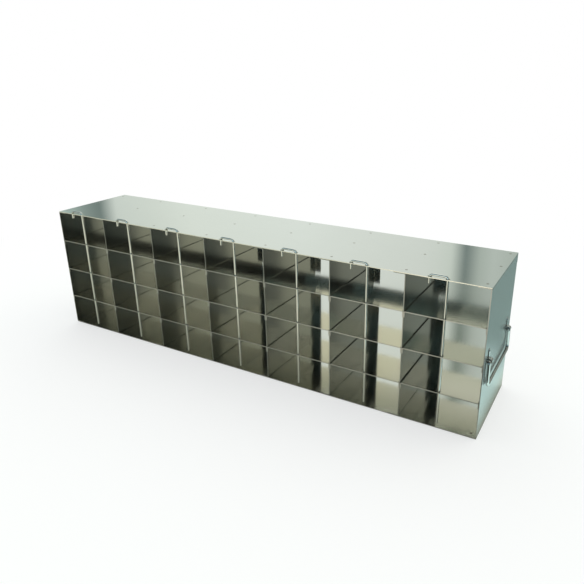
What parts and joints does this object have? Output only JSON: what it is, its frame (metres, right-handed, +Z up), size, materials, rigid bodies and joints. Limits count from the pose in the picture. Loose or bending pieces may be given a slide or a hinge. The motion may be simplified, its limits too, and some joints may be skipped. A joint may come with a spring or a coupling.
{
  "type": "side-access freezer rack for cryogenic boxes",
  "caption": "Open-fronted rack of folded stainless-steel sheet with a grid of box compartments, a lift-out locking rod before each column and a wire bail on one end.",
  "frame": {"origin": "middle of the underside", "axes": "+X along the rack to the handle end, -Y out of the open front, +Z up"},
  "size_m": [0.6855, 0.136, 0.1951],
  "materials": {
    "sheet_steel": "bright cold-rolled stainless steel",
    "clip_steel": "bright stainless steel",
    "wire_steel": "bright drawn stainless wire"
  },
  "bodies": {
    "rack": {"top_panel": "sheet_steel", "bottom_panel": "sheet_steel", "rear_end_panel": "sheet_steel", "handle_end_panel": "sheet_steel", "partition_1": "sheet_steel", "partition_2": "sheet_steel", "partition_3": "sheet_steel", "partition_4": "sheet_steel", "partition_5": "sheet_steel", "partition_6": "sheet_steel", "shelf_1_1": "sheet_steel", "shelf_1_2": "sheet_steel", "shelf_1_3": "sheet_steel", "shelf_2_1": "sheet_steel", "shelf_2_2": "sheet_steel", "shelf_2_3": "sheet_steel", "shelf_3_1": "sheet_steel", "shelf_3_2": "sheet_steel", "shelf_3_3": "sheet_steel", "shelf_4_1": "sheet_steel", "shelf_4_2": "sheet_steel", "shelf_4_3": "sheet_steel", "shelf_5_1": "sheet_steel", "shelf_5_2": "sheet_steel", "shelf_5_3": "sheet_steel", "shelf_6_1": "sheet_steel", "shelf_6_2": "sheet_steel", "shelf_6_3": "sheet_steel", "shelf_7_1": "sheet_steel", "shelf_7_2": "sheet_steel", "shelf_7_3": "sheet_steel", "handle_clip_1": "clip_steel", "handle_clip_2": "clip_steel", "handle_rivets": "clip_steel"},
    "locking_rod_1": {"locking_rod_1": "wire_steel"},
    "locking_rod_2": {"locking_rod_2": "wire_steel"},
    "locking_rod_3": {"locking_rod_3": "wire_steel"},
    "locking_rod_4": {"locking_rod_4": "wire_steel"},
    "locking_rod_5": {"locking_rod_5": "wire_steel"},
    "locking_rod_6": {"locking_rod_6": "wire_steel"},
    "locking_rod_7": {"locking_rod_7": "wire_steel"},
    "bail": {"bail_handle": "wire_steel"}
  },
  "joints": [
    {"name": "rod_1_lift", "type": "slide", "parent": "rack", "child": "locking_rod_1", "axis": [0, 0, 1], "range_m": [0, 0.19]},
    {"name": "rod_2_lift", "type": "slide", "parent": "rack", "child": "locking_rod_2", "axis": [0, 0, 1], "range_m": [0, 0.19]},
    {"name": "rod_3_lift", "type": "slide", "parent": "rack", "child": "locking_rod_3", "axis": [0, 0, 1], "range_m": [0, 0.19]},
    {"name": "rod_4_lift", "type": "slide", "parent": "rack", "child": "locking_rod_4", "axis": [0, 0, 1], "range_m": [0, 0.19]},
    {"name": "rod_5_lift", "type": "slide", "parent": "rack", "child": "locking_rod_5", "axis": [0, 0, 1], "range_m": [0, 0.19]},
    {"name": "rod_6_lift", "type": "slide", "parent": "rack", "child": "locking_rod_6", "axis": [0, 0, 1], "range_m": [0, 0.19]},
    {"name": "rod_7_lift", "type": "slide", "parent": "rack", "child": "locking_rod_7", "axis": [0, 0, 1], "range_m": [0, 0.19]},
    {"name": "bail_swing", "type": "hinge", "parent": "rack", "child": "bail", "pos_m": [0.3423, 0, 0.0955], "axis": [0, -1, 0], "range_deg": [0, 175]}
  ]
}
